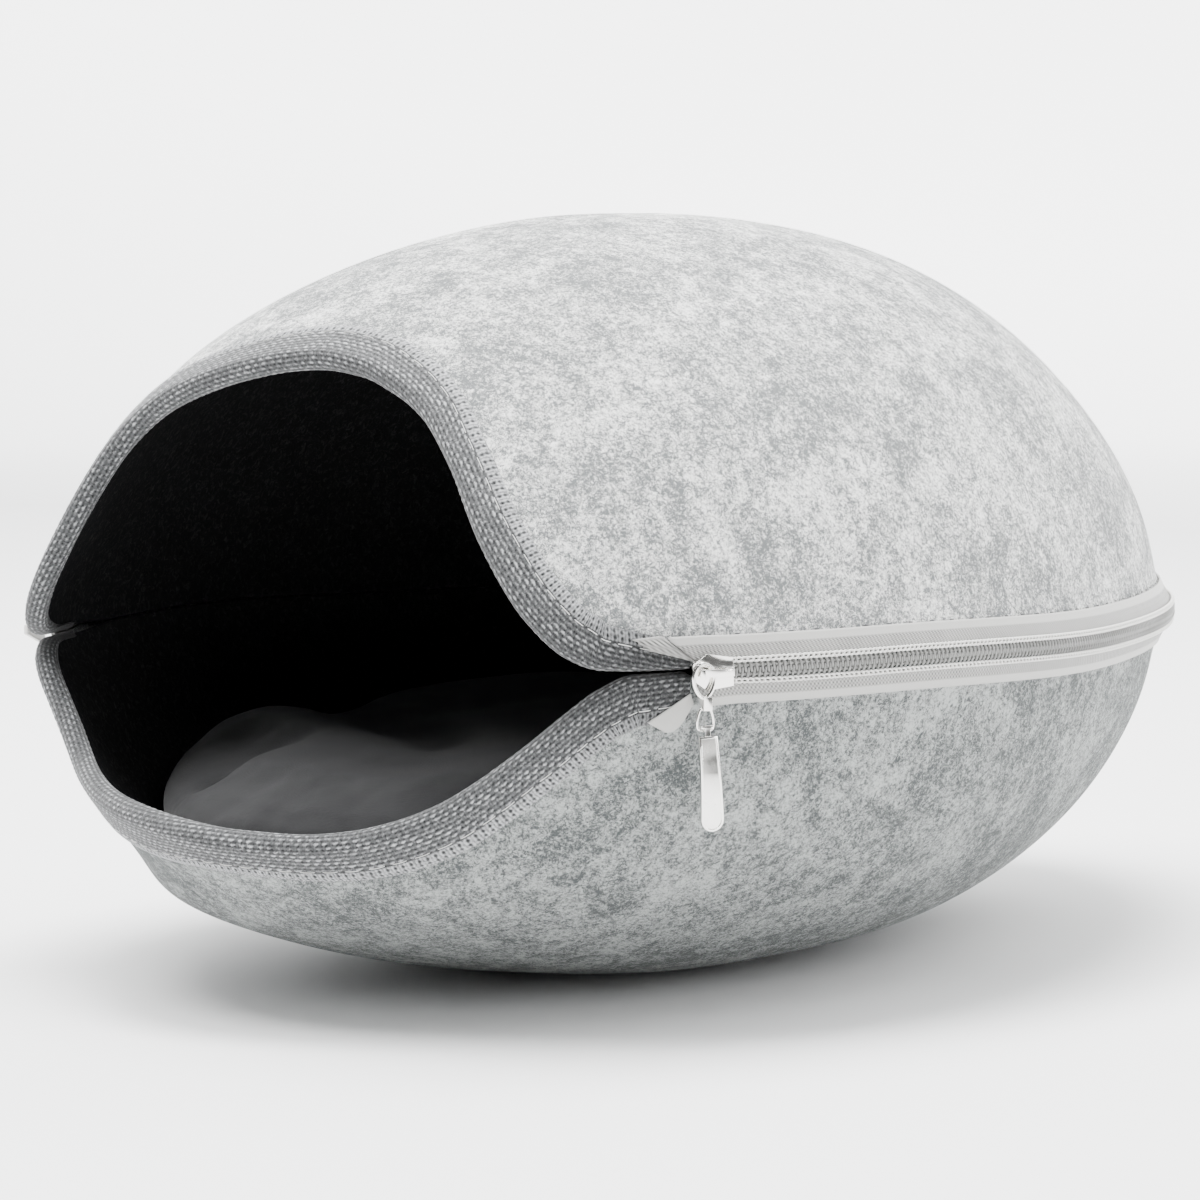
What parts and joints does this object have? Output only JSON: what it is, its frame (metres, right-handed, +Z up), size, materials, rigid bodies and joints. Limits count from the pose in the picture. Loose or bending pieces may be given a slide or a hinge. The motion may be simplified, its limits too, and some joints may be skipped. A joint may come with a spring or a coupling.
{
  "type": "pet cave bed",
  "caption": "Egg-shaped felt cave bed for a cat or small dog: moulded halves joined by a zip round the back, a bell-shaped bound mouth, a metal zip pull and a loose plush cushion inside.",
  "frame": {"origin": "middle of the bounding box, on the floor under the bed", "axes": "+Z up, -Y out of the mouth, +X to the side that carries the slider"},
  "size_m": [0.3608, 0.4876, 0.2665],
  "materials": {
    "felt": "needled felt, light grey melange",
    "lining": "black felt",
    "binding": "knitted tape, mid grey melange",
    "zip_tape": "satin woven tape, warm light grey",
    "zip_coil": "nylon coil with chain stitch",
    "zip_end": "white woven end",
    "plush": "short plush, dark grey",
    "nickel": "bright nickel plate"
  },
  "bodies": {
    "root": {"upper_felt": "felt", "lower_felt": "felt", "upper_lining": "lining", "lower_lining": "lining", "upper_binding": "binding", "lower_binding": "binding", "zip_tape_upper": "zip_tape", "zip_tape_lower": "zip_tape", "zip_coil": "zip_coil", "far_zip_end": "zip_end", "cushion": "plush", "slider": "nickel", "pull_ring": "nickel", "pull_link": "nickel", "pull_tab": "nickel"}
  },
  "joints": []
}
